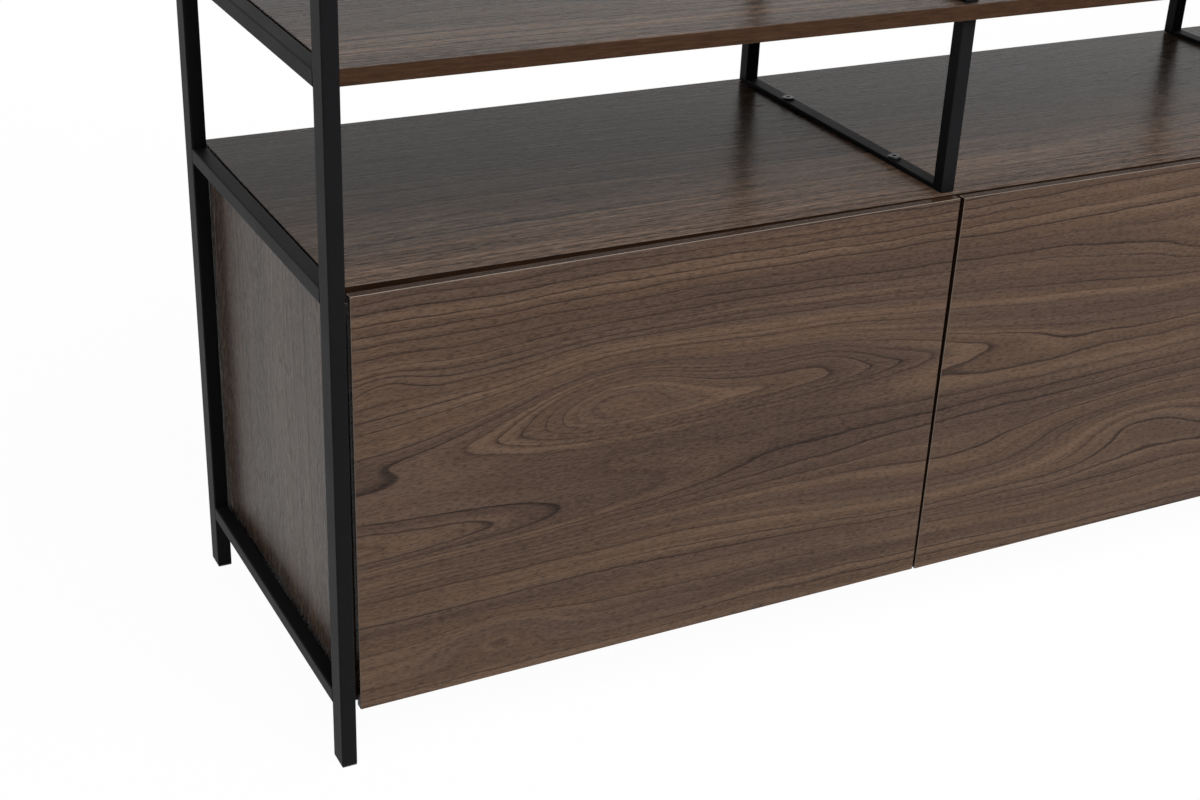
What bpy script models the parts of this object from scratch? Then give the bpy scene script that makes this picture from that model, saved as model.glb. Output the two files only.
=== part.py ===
# Low sideboard: a three-door cabinet carried between two welded ladder frames,
# with two open tiers above it that stand on slim steel hoops.
# Units are metres. X runs along the width, the front faces -Y and Z is up.
# The origin is on the floor, below the middle of the sideboard.

import math

import bmesh
import bpy
from mathutils import Matrix, Vector

# Overall sizes
overall_width = 2.030
overall_depth = 0.442
cabinet_top_height = 0.511
cabinet_bottom_height = 0.064
tier_pitch = 0.198

# Steel frame
post_width = 0.016
post_depth = 0.025
rail_height = 0.016
tube_wall = 0.0015
tube_corner = 0.0016
corner_segments = 3

# Boards
board_thickness = 0.016
board_arris = 0.0006
board_setback = 0.019
rear_setback = 0.0005
end_gap = 0.002
back_thickness = 0.004
back_inset = 0.013
groove_depth = 0.006
groove_hold = 0.0052
inner_shelf_setback = 0.030
inner_shelf_side_gap = 0.001
inner_shelf_height = 0.300
inner_shelf_rear_gap = 0.004

# Doors
door_thickness = 0.010
door_front_setback = 0.0035
door_side_gap = 0.0036
door_split_gap = 0.003
split_offset = 0.3275
partition_overlay = 0.009
hinge_axis_from_edge = 0.005
hinge_axis_from_front = 0.004
door_opening_angle = math.radians(90.0)

# Hinges
cup_radius = 0.0175
cup_depth = 0.0072
cup_wall = 0.001
cup_from_edge = 0.0225
cup_segments = 24
flange_height = 0.052
flange_width = 0.038
flange_thickness = 0.0009
flange_corner = 0.010
hinge_end_distance = 0.085
arm_height = 0.014
arm_thickness = 0.006
arm_length = 0.062
arm_straight_length = 0.036
arm_nose_start = 0.009
arm_face_distance = 0.008
plate_height = 0.050
plate_depth = 0.020
plate_base_depth = 0.044
plate_base_height = 0.020
plate_setback = 0.028

# Push latches
latch_width = 0.014
latch_height = 0.014
latch_length = 0.060
latch_setback = 0.0025
latch_from_edge = 0.045
latch_wall = 0.0030
latch_arris = 0.0010
plunger_radius = 0.0032
plunger_inside = 0.034
plunger_tip_bevel = 0.0010
plunger_travel = 0.008
plunger_segments = 16

# Hoops
hoop_tube = 0.016
hoop_bar_height = 0.005
hoop_arris = 0.0008
hoop_offset = 0.333
hoop_inset = 0.0055
hoop_screw_spacing = 0.216

# Fasteners
screw_head_radius = 0.0073
screw_head_height = 0.0022
screw_crown = 0.0010
screw_socket_radius = 0.0026
screw_socket_depth = 0.0014
screw_shank_radius = 0.003
screw_bite = 0.007
screw_segments = 18
socket_sides = 6
carrier_pin_radius = 0.004
carrier_pin_spacing = 0.300
carrier_pin_in_rail = 0.004
carrier_pin_in_board = 0.026
carrier_pin_arris = 0.0008
shelf_pin_radius = 0.0025
shelf_pin_in_panel = 0.0065
shelf_pin_reach = 0.009
shelf_pin_from_edge = 0.050
pin_segments = 12

# Feet
foot_thickness = 0.002
foot_margin = 0.0005
foot_plug_height = 0.020

# Gap between pieces that touch
touch = 0.0003

# Places that follow from the sizes above
half_width = overall_width / 2
front_y = -overall_depth / 2
rear_y = overall_depth / 2
tier_heights = [cabinet_top_height + tier_pitch, cabinet_top_height + 2 * tier_pitch]
overall_height = tier_heights[-1]
rail_heights = {
    "bottom": cabinet_bottom_height + rail_height,
    "cabinet": cabinet_top_height,
    "shelf": tier_heights[0],
    "top": tier_heights[1],
}
board_front_y = front_y + board_setback
board_rear_y = rear_y - rear_setback
board_end_x = half_width - post_width - end_gap
cabinet_inner_low = cabinet_bottom_height + board_thickness
cabinet_inner_high = cabinet_top_height - board_thickness
back_rear_y = board_rear_y - back_inset
back_front_y = back_rear_y - back_thickness
door_front_y = front_y + door_front_setback
door_back_y = door_front_y + door_thickness
door_low = cabinet_bottom_height
door_high = cabinet_top_height
side_inner_x = board_end_x - board_thickness
door_end_x = half_width - post_width - door_side_gap
door_spans = {
    "left": (-door_end_x, -split_offset - door_split_gap / 2),
    "middle": (-split_offset + door_split_gap / 2, split_offset - door_split_gap / 2),
    "right": (split_offset + door_split_gap / 2, door_end_x),
}
partition_left_x = door_spans["left"][1] - partition_overlay
partition_right_x = door_spans["middle"][1] - partition_overlay
hinge_faces = {
    "left": partition_left_x,
    "middle": partition_right_x,
    "right": side_inner_x,
}
bay_spans = {
    "left": (-side_inner_x, partition_left_x),
    "middle": (partition_left_x + board_thickness, partition_right_x),
    "right": (partition_right_x + board_thickness, side_inner_x),
}
hinge_levels = [door_low + hinge_end_distance, door_high - hinge_end_distance]
hoop_front_y = board_front_y + hoop_inset
hoop_rear_y = board_rear_y - hoop_inset
carrier_pin_places = [-carrier_pin_spacing / 2, carrier_pin_spacing / 2]
hoop_centre_y = (hoop_front_y + hoop_rear_y) / 2
hoop_screw_places = [hoop_centre_y - hoop_screw_spacing / 2,
                     hoop_centre_y + hoop_screw_spacing / 2]


def clear_scene():
    """Remove whatever the file opened with."""
    for item in list(bpy.data.objects):
        bpy.data.objects.remove(item, do_unlink=True)
    for mesh in list(bpy.data.meshes):
        bpy.data.meshes.remove(mesh)


def make_material(name, colour, roughness, metallic):
    """A plain surface with the finish of one kind of piece."""
    material = bpy.data.materials.new(name)
    material.use_nodes = True
    shader = material.node_tree.nodes["Principled BSDF"]
    shader.inputs["Base Color"].default_value = (*colour, 1.0)
    shader.inputs["Roughness"].default_value = roughness
    shader.inputs["Metallic"].default_value = metallic
    material.diffuse_color = (*colour, 1.0)
    return material


def finish_object(name, bm, material, location=(0, 0, 0), smooth=False, parent=None):
    """Turn a bmesh into a named object at its place."""
    bmesh.ops.recalc_face_normals(bm, faces=bm.faces)
    mesh = bpy.data.meshes.new(name)
    bm.to_mesh(mesh)
    bm.free()
    mesh.materials.append(material)
    if smooth:
        mesh.shade_smooth()
        mesh.set_sharp_from_angle(angle=math.radians(35))
    item = bpy.data.objects.new(name, mesh)
    bpy.context.scene.collection.objects.link(item)
    if parent is not None:
        item.parent = parent
        item.location = Vector(location) - parent.location
    else:
        item.location = location
    return item


def add_box(bm, low, high, arris=0.0):
    """Add a block between two corners, with its edges eased."""
    low = Vector(low)
    high = Vector(high)
    size = high - low
    place = Matrix.Translation((low + high) / 2) @ Matrix.Diagonal((*size, 1.0))
    made = bmesh.ops.create_cube(bm, size=1.0, matrix=place)
    if arris > 0:
        edges = {edge for vertex in made["verts"] for edge in vertex.link_edges}
        bmesh.ops.bevel(bm, geom=list(edges), offset=arris, segments=1, affect="EDGES",
                        profile=0.5)


def box_object(name, material, low, high, arris=0.0, parent=None):
    """One block, with its origin at its own centre."""
    low = Vector(low)
    high = Vector(high)
    centre = (low + high) / 2
    bm = bmesh.new()
    add_box(bm, low - centre, high - centre, arris)
    return finish_object(name, bm, material, centre, parent=parent)


def add_cylinder(bm, radius, start, end, segments, arris=0.0):
    """Add a round bar between two points, with its end rims eased."""
    start = Vector(start)
    end = Vector(end)
    run = end - start
    turn = Vector((0, 0, 1)).rotation_difference(run).to_matrix().to_4x4()
    place = Matrix.Translation((start + end) / 2) @ turn
    made = bmesh.ops.create_cone(bm, cap_ends=True, segments=segments, radius1=radius,
                                 radius2=radius, depth=run.length, matrix=place)
    if arris > 0:
        edges = {edge for vertex in made["verts"] for edge in vertex.link_edges}
        rims = [edge for edge in edges if any(len(face.verts) > 4 for face in edge.link_faces)]
        bmesh.ops.bevel(bm, geom=rims, offset=arris, segments=1, affect="EDGES")


def combine(item, bm, name, operation):
    """Cut the shapes in a bmesh out of an object, or join them to it."""
    bmesh.ops.recalc_face_normals(bm, faces=bm.faces)
    mesh = bpy.data.meshes.new(name)
    bm.to_mesh(mesh)
    bm.free()
    tool = bpy.data.objects.new(name, mesh)
    bpy.context.scene.collection.objects.link(tool)
    tool.hide_render = True
    tool.display_type = "WIRE"
    modifier = item.modifiers.new(name, "BOOLEAN")
    modifier.operation = operation
    modifier.solver = "EXACT"
    modifier.object = tool


def copy_object(name, item, location):
    """Another piece with the same mesh at its own place."""
    twin = bpy.data.objects.new(name, item.data)
    bpy.context.scene.collection.objects.link(twin)
    twin.location = location
    return twin


def rounded_outline(width, depth, radius, segments):
    """Points round a rectangle with rounded corners, anticlockwise."""
    points = []
    corners = [(1, 1, 0), (-1, 1, 1), (-1, -1, 2), (1, -1, 3)]
    for side_x, side_y, quarter in corners:
        centre_x = side_x * (width / 2 - radius)
        centre_y = side_y * (depth / 2 - radius)
        for step in range(segments + 1):
            angle = math.pi / 2 * (quarter + step / segments)
            points.append((centre_x + radius * math.cos(angle),
                           centre_y + radius * math.sin(angle)))
    return points


def circle_outline(radius, segments, turn=0.0):
    """Points round a circle, anticlockwise."""
    return [(radius * math.cos(turn + 2 * math.pi * step / segments),
             radius * math.sin(turn + 2 * math.pi * step / segments))
            for step in range(segments)]


def add_loop(bm, outline, height):
    """Add one ring of points at a height."""
    return [bm.verts.new((x, y, height)) for x, y in outline]


def add_wall(bm, lower, upper):
    """Join two rings with the same number of points."""
    count = len(lower)
    for step in range(count):
        following = (step + 1) % count
        bm.faces.new((lower[step], lower[following], upper[following], upper[step]))


def add_stitch(bm, outer, inner):
    """Join two flat rings whose points differ in number, by their angles."""
    def angle_of(vertex):
        return math.atan2(vertex.co.y, vertex.co.x) % (2 * math.pi)

    outer = sorted(outer, key=angle_of)
    inner = sorted(inner, key=angle_of)
    a = 0
    b = 0
    while a < len(outer) or b < len(inner):
        next_a = angle_of(outer[(a + 1) % len(outer)]) + 2 * math.pi * ((a + 1) // len(outer))
        next_b = angle_of(inner[(b + 1) % len(inner)]) + 2 * math.pi * ((b + 1) // len(inner))
        here_a = outer[a % len(outer)]
        here_b = inner[b % len(inner)]
        if b >= len(inner) or (a < len(outer) and next_a <= next_b):
            bm.faces.new((here_a, outer[(a + 1) % len(outer)], here_b))
            a += 1
        else:
            bm.faces.new((here_a, inner[(b + 1) % len(inner)], here_b))
            b += 1


def tube_mesh(width, depth, length, closed_top):
    """A rectangular tube that stands on the origin, open below."""
    bm = bmesh.new()
    outline = rounded_outline(width, depth, tube_corner, corner_segments)
    bore = rounded_outline(width - 2 * tube_wall, depth - 2 * tube_wall,
                           tube_corner - tube_wall / 2, 1)
    outer_low = add_loop(bm, outline, 0.0)
    outer_high = add_loop(bm, outline, length)
    inner_low = add_loop(bm, bore, 0.0)
    inner_high = add_loop(bm, bore, length - tube_wall if closed_top else length)
    add_wall(bm, outer_low, outer_high)
    add_wall(bm, inner_high, inner_low)
    add_stitch(bm, outer_low, inner_low)
    if closed_top:
        bm.faces.new(outer_high)
        bm.faces.new(inner_high)
    else:
        add_stitch(bm, outer_high, inner_high)
    return bm


def make_post(name, material, side, place_y):
    """One upright of a ladder frame."""
    low = foot_thickness + touch
    bm = tube_mesh(post_width, post_depth, overall_height - low, closed_top=True)
    place_x = side * (half_width - post_width / 2)
    return finish_object(name, bm, material, (place_x, place_y, low), smooth=True)


def make_rail(name, material, side, top_height):
    """One rung of a ladder frame, with the two pins that carry a board's end."""
    length = overall_depth - 2 * post_depth - 2 * touch
    bm = tube_mesh(post_width, rail_height, length, closed_top=False)
    bmesh.ops.rotate(bm, verts=bm.verts, matrix=Matrix.Rotation(-math.pi / 2, 3, "X"))
    place = (side * (half_width - post_width / 2), -length / 2, top_height - rail_height / 2)
    rail = finish_object(name, bm, material, place, smooth=True)
    pins = bmesh.new()
    inner_x = half_width - post_width
    for pin_y in carrier_pin_places:
        add_cylinder(pins, carrier_pin_radius,
                     (side * (inner_x + carrier_pin_in_rail), pin_y, place[2]),
                     (side * (board_end_x - carrier_pin_in_board), pin_y, place[2]),
                     pin_segments, carrier_pin_arris)
    combine(rail, pins, name + "_pins", "UNION")
    return rail


def make_feet(material):
    """The plugs that close the posts and stand on the floor."""
    plate_arris = foot_thickness / 4
    plate_x = post_width / 2 - foot_margin
    plate_y = post_depth / 2 - foot_margin
    plug_x = post_width / 2 - tube_wall - 2 * touch
    plug_y = post_depth / 2 - tube_wall - 2 * touch
    rings = [
        (plate_x - plate_arris, plate_y - plate_arris, 0.0),
        (plate_x, plate_y, plate_arris),
        (plate_x, plate_y, foot_thickness),
        (plug_x, plug_y, foot_thickness),
        (plug_x, plug_y, foot_plug_height),
    ]
    bm = bmesh.new()
    loops = []
    for reach_x, reach_y, height in rings:
        corners = [(1, 1), (-1, 1), (-1, -1), (1, -1)]
        loops.append(add_loop(bm, [(a * reach_x, b * reach_y) for a, b in corners], height))
    for lower, upper in zip(loops, loops[1:]):
        add_wall(bm, lower, upper)
    bm.faces.new(loops[0])
    bm.faces.new(loops[-1])
    foot = None
    for side, side_label in ((-1, "left"), (1, "right")):
        for end, end_label in ((-1, "front"), (1, "rear")):
            name = side_label + "_" + end_label + "_foot"
            place = (side * (half_width - post_width / 2),
                     end * (overall_depth / 2 - post_depth / 2), 0.0)
            if foot is None:
                foot = finish_object(name, bm, material, place)
            else:
                copy_object(name, foot, place)


def carrier_hole_shapes(height):
    """Blind holes for the carrier pins in both ends of a board."""
    bm = bmesh.new()
    for side in (-1, 1):
        for pin_y in carrier_pin_places:
            add_cylinder(bm, carrier_pin_radius + touch,
                         (side * (board_end_x + board_thickness), pin_y, height),
                         (side * (board_end_x - carrier_pin_in_board - touch), pin_y, height),
                         pin_segments)
    return bm


def screw_hole_shapes(height_low, height_high):
    """Upright holes for the hoop screws."""
    bm = bmesh.new()
    for side in (-1, 1):
        for screw_y in hoop_screw_places:
            add_cylinder(bm, screw_shank_radius + touch, (side * hoop_offset, screw_y, height_low),
                         (side * hoop_offset, screw_y, height_high), pin_segments)
    return bm


def make_full_board(name, material, top_height, screws_above, screws_below):
    """A board that spans from one ladder frame to the other."""
    low = top_height - board_thickness
    item = box_object(name, material, (-board_end_x, board_front_y, low),
                      (board_end_x, board_rear_y, top_height), board_arris)
    pins = carrier_hole_shapes(top_height - rail_height / 2)
    combine(item, pins, name + "_pin_holes", "DIFFERENCE")
    if screws_above:
        holes = screw_hole_shapes(top_height - screw_bite - touch, top_height + board_thickness)
        combine(item, holes, name + "_upper_holes", "DIFFERENCE")
    if screws_below:
        holes = screw_hole_shapes(low - board_thickness, low + screw_bite + touch)
        combine(item, holes, name + "_lower_holes", "DIFFERENCE")
    return item


def groove_shape(low_height, high_height):
    """The slot that takes the back panel in a flat board."""
    bm = bmesh.new()
    reach = side_inner_x + groove_depth
    add_box(bm, (-reach, back_front_y - touch, low_height), (reach, back_rear_y + touch, high_height))
    return bm


def make_upright(name, material, left_x, grooved_side, pinned_sides):
    """A side panel or a partition, with its groove and the pins of the loose shelves."""
    rear = board_rear_y if grooved_side else back_front_y - touch
    low = cabinet_inner_low + touch
    high = cabinet_inner_high - touch
    item = box_object(name, material, (left_x, board_front_y, low),
                      (left_x + board_thickness, rear, high), board_arris)
    if grooved_side:
        face = left_x + board_thickness if grooved_side > 0 else left_x
        groove = bmesh.new()
        deep = face - grooved_side * groove_depth
        clear = face + grooved_side * groove_depth
        add_box(groove, (min(deep, clear), back_front_y - touch, low - board_thickness),
                (max(deep, clear), back_rear_y + touch, high + board_thickness))
        combine(item, groove, name + "_groove", "DIFFERENCE")
    pins = bmesh.new()
    for side in pinned_sides:
        face = left_x + board_thickness if side > 0 else left_x
        for pin_y in shelf_pin_rows():
            add_cylinder(pins, shelf_pin_radius,
                         (face + side * shelf_pin_reach, pin_y, shelf_pin_level()),
                         (face - side * shelf_pin_in_panel, pin_y, shelf_pin_level()),
                         pin_segments)
    combine(item, pins, name + "_pins", "UNION")
    return item


def inner_shelf_span():
    """Front and rear edge of the loose shelves inside the cabinet."""
    return board_front_y + inner_shelf_setback, back_front_y - inner_shelf_rear_gap


def shelf_pin_rows():
    """Where the shelf pins stand, front and rear."""
    front, rear = inner_shelf_span()
    return front + shelf_pin_from_edge, rear - shelf_pin_from_edge


def shelf_pin_level():
    """Height of the shelf pins' centre lines."""
    return inner_shelf_height - board_thickness - shelf_pin_radius - touch


def make_inner_shelf(name, material, span):
    """A loose shelf inside one bay of the cabinet."""
    front, rear = inner_shelf_span()
    return box_object(name, material,
                      (span[0] + inner_shelf_side_gap, front, inner_shelf_height - board_thickness),
                      (span[1] - inner_shelf_side_gap, rear, inner_shelf_height), board_arris)


def make_back(material):
    """The thin panel that closes the cabinet from behind, held in grooves."""
    reach = side_inner_x + groove_hold
    return box_object("cabinet_back", material,
                      (-reach, back_front_y, cabinet_inner_low - groove_hold),
                      (reach, back_rear_y, cabinet_inner_high + groove_hold))


def ease_edges(bm):
    """Take the sharp edges off a hoop or one of its bars."""
    bmesh.ops.recalc_face_normals(bm, faces=bm.faces)
    long_edges = [edge for edge in bm.edges if edge.calc_face_angle(0.0) > math.radians(30)]
    bmesh.ops.bevel(bm, geom=long_edges, offset=hoop_arris, segments=1, affect="EDGES")


def open_hoop_mesh(height):
    """A hoop open below: two square uprights under one flat bar."""
    bm = bmesh.new()
    half = (hoop_rear_y - hoop_front_y) / 2
    outline = [(-half, 0.0), (-half, height), (half, height), (half, 0.0),
               (half - hoop_tube, 0.0), (half - hoop_tube, height - hoop_bar_height),
               (-half + hoop_tube, height - hoop_bar_height), (-half + hoop_tube, 0.0)]
    rings = [[bm.verts.new((place_x, y, z)) for y, z in outline]
             for place_x in (-hoop_tube / 2, hoop_tube / 2)]
    for ring in rings:
        bm.faces.new(ring)
    add_wall(bm, rings[0], rings[1])
    ease_edges(bm)
    return bm


def hoop_outline_mesh(height):
    """A welded hoop: two square uprights joined by flat bars."""
    bm = bmesh.new()
    depth = hoop_rear_y - hoop_front_y
    outer = [(-depth / 2, 0.0), (depth / 2, 0.0), (depth / 2, height), (-depth / 2, height)]
    inner = [(-depth / 2 + hoop_tube, hoop_bar_height), (depth / 2 - hoop_tube, hoop_bar_height),
             (depth / 2 - hoop_tube, height - hoop_bar_height),
             (-depth / 2 + hoop_tube, height - hoop_bar_height)]
    sides = []
    for place_x in (-hoop_tube / 2, hoop_tube / 2):
        outer_ring = [bm.verts.new((place_x, y, z)) for y, z in outer]
        inner_ring = [bm.verts.new((place_x, y, z)) for y, z in inner]
        add_wall(bm, outer_ring, inner_ring)
        sides.append((outer_ring, inner_ring))
    add_wall(bm, sides[0][0], sides[1][0])
    add_wall(bm, sides[0][1], sides[1][1])
    ease_edges(bm)
    return bm


def screw_mesh():
    """A round-headed screw with a socket; its head sits on the origin."""
    bm = bmesh.new()
    shank = hoop_bar_height + screw_bite - touch
    rings = [
        (screw_shank_radius / 2, -shank),
        (screw_shank_radius, screw_shank_radius - shank),
        (screw_shank_radius, 0.0),
        (screw_head_radius, 0.0),
        (screw_head_radius, screw_head_height - screw_crown),
        (screw_head_radius - screw_crown, screw_head_height),
    ]
    loops = [add_loop(bm, circle_outline(radius, screw_segments), height)
             for radius, height in rings]
    for lower, upper in zip(loops, loops[1:]):
        add_wall(bm, lower, upper)
    bm.faces.new(loops[0])
    socket = circle_outline(screw_socket_radius, socket_sides)
    socket_high = add_loop(bm, socket, screw_head_height)
    socket_low = add_loop(bm, socket, screw_head_height - screw_socket_depth)
    add_stitch(bm, loops[-1], socket_high)
    add_wall(bm, socket_high, socket_low)
    bm.faces.new(socket_low)
    return bm


def add_screws(bm, place_x, height, direction):
    """Add the two screws of one hoop bar, sunk a touch so that they join the bar."""
    for screw_y in hoop_screw_places:
        screw = screw_mesh()
        if direction < 0:
            bmesh.ops.rotate(screw, verts=screw.verts, matrix=Matrix.Rotation(math.pi, 3, "X"))
        bmesh.ops.translate(screw, verts=screw.verts,
                            vec=(place_x, screw_y, height - direction * touch))
        mesh = bpy.data.meshes.new("bar_screw")
        screw.to_mesh(mesh)
        screw.free()
        bm.from_mesh(mesh)
        bpy.data.meshes.remove(mesh)


def make_hoop(name, material, side, low_height, loose_foot):
    """One hoop between two boards, closed below or standing over a loose foot bar."""
    height = tier_pitch - board_thickness - 2 * touch
    low = low_height + touch
    place_x = side * hoop_offset
    outline = open_hoop_mesh(height) if loose_foot else hoop_outline_mesh(height)
    hoop = finish_object(name, outline, material, (place_x, hoop_centre_y, low))
    fixed = bmesh.new()
    add_screws(fixed, place_x, low + height - hoop_bar_height, -1)
    if not loose_foot:
        add_screws(fixed, place_x, low + hoop_bar_height, 1)
    combine(hoop, fixed, name + "_screws", "UNION")
    return hoop


def make_foot_bar(name, material, side, low_height):
    """The flat bar between a lower hoop's uprights, with holes for its two screws."""
    low = low_height + touch
    place_x = side * hoop_offset
    bar = box_object(name, material,
                     (place_x - hoop_tube / 2, hoop_front_y + hoop_tube + touch, low),
                     (place_x + hoop_tube / 2, hoop_rear_y - hoop_tube - touch,
                      low + hoop_bar_height), hoop_arris)
    holes = bmesh.new()
    for screw_y in hoop_screw_places:
        add_cylinder(holes, screw_shank_radius + touch, (place_x, screw_y, low - hoop_bar_height),
                     (place_x, screw_y, low + 2 * hoop_bar_height), pin_segments)
    combine(bar, holes, name + "_holes", "DIFFERENCE")
    return bar


def make_hoop_screws(material):
    """The screws that hold the lower hoops down on the cabinet top."""
    first = None
    height = cabinet_top_height + 2 * touch + hoop_bar_height
    for side, side_label in ((-1, "left"), (1, "right")):
        for screw_y, end_label in zip(hoop_screw_places, ("front", "rear")):
            name = side_label + "_hoop_" + end_label + "_screw"
            place = (side * hoop_offset, screw_y, height)
            if first is None:
                first = finish_object(name, screw_mesh(), material, place, smooth=True)
            else:
                copy_object(name, first, place)


def make_door(name, material, span, pivot):
    """One door, bored from behind for its two hinge cups."""
    door = box_object(name, material, (span[0], door_front_y, door_low),
                      (span[1], door_back_y, door_high), board_arris)
    place = door.location.copy()
    door.data.transform(Matrix.Translation(place - pivot.location))
    door.parent = pivot
    door.location = (0, 0, 0)
    bores = bmesh.new()
    for level in hinge_levels:
        centre_x = span[1] - cup_from_edge
        add_cylinder(bores, cup_radius, (centre_x, door_back_y - cup_depth - touch, level),
                     (centre_x, door_back_y + cup_depth, level), cup_segments)
    combine(door, bores, name + "_bores", "DIFFERENCE")
    return door


def cup_mesh():
    """A pressed hinge cup with its flange; the door's back face is at zero depth."""
    bm = bmesh.new()
    outline = rounded_outline(flange_width, flange_height, flange_corner, cup_segments // 4 - 1)
    outer_radius = cup_radius - touch
    turn = math.pi / cup_segments
    outer = circle_outline(outer_radius, cup_segments, turn)
    inner = circle_outline(outer_radius - cup_wall, cup_segments, turn)
    flange_low = add_loop(bm, outline, touch)
    flange_high = add_loop(bm, outline, touch + flange_thickness)
    mouth = add_loop(bm, inner, touch + flange_thickness)
    floor = add_loop(bm, inner, cup_wall - cup_depth)
    neck = add_loop(bm, outer, touch)
    base = add_loop(bm, outer, -cup_depth)
    add_wall(bm, flange_low, flange_high)
    add_stitch(bm, flange_high, mouth)
    add_wall(bm, mouth, floor)
    bm.faces.new(floor)
    add_stitch(bm, flange_low, neck)
    add_wall(bm, neck, base)
    bm.faces.new(base)
    bmesh.ops.rotate(bm, verts=bm.verts, matrix=Matrix.Rotation(-math.pi / 2, 3, "X"))
    return bm


def make_hinge_cups(key, material, span, pivot):
    """The two cups let into the back of one door."""
    for level, label in zip(hinge_levels, ("lower", "upper")):
        place = Vector((span[1] - cup_from_edge, door_back_y, level))
        name = key + "_" + label + "_hinge_cup"
        finish_object(name, cup_mesh(), material, place, smooth=True, parent=pivot)


def strip_outline(path, width):
    """The outline of a strip of even width that follows a path."""
    left = []
    right = []
    for step, point in enumerate(path):
        before = path[max(step - 1, 0)]
        after = path[min(step + 1, len(path) - 1)]
        run_in = (point - before).normalized() if step > 0 else (after - point).normalized()
        run_out = (after - point).normalized() if step < len(path) - 1 else run_in
        middle = (run_in + run_out).normalized()
        normal = Vector((-middle.y, middle.x))
        reach = width / 2 / max(normal.dot(Vector((-run_in.y, run_in.x))), 0.5)
        left.append(point + normal * reach)
        right.append(point - normal * reach)
    return left + right[::-1]


def plate_outline(front, level):
    """The cross-shaped outline of a hinge's mounting plate, seen from the side."""
    middle = front + plate_base_depth / 2
    wing_y = (middle - plate_depth / 2, middle + plate_depth / 2)
    wing_z = (level - plate_height / 2, level + plate_height / 2)
    base_y = (front, front + plate_base_depth)
    base_z = (level - plate_base_height / 2, level + plate_base_height / 2)
    return [
        (base_y[0], base_z[0]), (wing_y[0], base_z[0]), (wing_y[0], wing_z[0]),
        (wing_y[1], wing_z[0]), (wing_y[1], base_z[0]), (base_y[1], base_z[0]),
        (base_y[1], base_z[1]), (wing_y[1], base_z[1]), (wing_y[1], wing_z[1]),
        (wing_y[0], wing_z[1]), (wing_y[0], base_z[1]), (base_y[0], base_z[1]),
    ]


def make_hinge_arms(key, material, span):
    """The two cranked arms, clipped on their plates, that carry one door."""
    cup_x = span[1] - cup_from_edge
    face = hinge_faces[key]
    arm_x = face - arm_face_distance
    nose_y = door_back_y - cup_depth + cup_wall + touch
    path = [
        Vector((arm_x, door_back_y + arm_length)),
        Vector((arm_x, door_back_y + arm_length - arm_straight_length)),
        Vector((cup_x, door_back_y + arm_nose_start)),
        Vector((cup_x, nose_y)),
    ]
    outline = strip_outline(path, arm_thickness)
    far_x = arm_x
    near_x = face - touch
    front = door_back_y + plate_setback
    for level, label in zip(hinge_levels, ("lower", "upper")):
        bm = bmesh.new()
        low = add_loop(bm, outline, level - arm_height / 2)
        high = add_loop(bm, outline, level + arm_height / 2)
        add_wall(bm, low, high)
        bm.faces.new(low)
        bm.faces.new(high)
        arm = finish_object(key + "_" + label + "_hinge_arm", bm, material)
        plate = bmesh.new()
        edge = plate_outline(front, level)
        near = [plate.verts.new((near_x, y, z)) for y, z in edge]
        far = [plate.verts.new((far_x, y, z)) for y, z in edge]
        add_wall(plate, near, far)
        plate.faces.new(near)
        plate.faces.new(far)
        combine(arm, plate, key + "_" + label + "_hinge_plate", "UNION")


def latch_place(span):
    """Centre line of the push latch behind a door's free edge."""
    height = cabinet_inner_high - touch - latch_height / 2
    return span[0] + latch_from_edge, height


def make_latch_body(name, material, span):
    """A latch housing under the cabinet top, bored open towards its door."""
    front = board_front_y + latch_setback
    centre_x, centre_z = latch_place(span)
    item = box_object(name, material,
                      (centre_x - latch_width / 2, front, centre_z - latch_height / 2),
                      (centre_x + latch_width / 2, front + latch_length,
                       centre_z + latch_height / 2), latch_arris)
    bore = bmesh.new()
    add_cylinder(bore, plunger_radius + touch, (centre_x, front - latch_wall, centre_z),
                 (centre_x, front + plunger_inside + latch_wall, centre_z), plunger_segments)
    combine(item, bore, name + "_bore", "DIFFERENCE")
    return item


def make_plunger(name, material, span):
    """The spring-loaded tip that pushes a door open."""
    centre_x, centre_z = latch_place(span)
    tip = door_back_y + touch
    rear = board_front_y + latch_setback + plunger_inside
    bm = bmesh.new()
    add_cylinder(bm, plunger_radius, (0, 0, 0), (0, rear - tip, 0), plunger_segments,
                 plunger_tip_bevel)
    return finish_object(name, bm, material, (centre_x, tip, centre_z), smooth=True)


def make_pivot(key, span):
    """The upright line that a door turns about, near its right-hand front edge."""
    pivot = bpy.data.objects.new("pivot_" + key, None)
    bpy.context.scene.collection.objects.link(pivot)
    pivot.location = (span[1] - hinge_axis_from_edge, door_front_y + hinge_axis_from_front,
                      (door_low + door_high) / 2)
    return pivot


def build_frames(steel, plastic):
    """The two ladder frames and their feet."""
    for side, label in ((-1, "left"), (1, "right")):
        make_post(label + "_front_post", steel, side, front_y + post_depth / 2)
        make_post(label + "_rear_post", steel, side, rear_y - post_depth / 2)
        for level, top_height in rail_heights.items():
            make_rail(label + "_" + level + "_rail", steel, side, top_height)
    make_feet(plastic)


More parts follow.
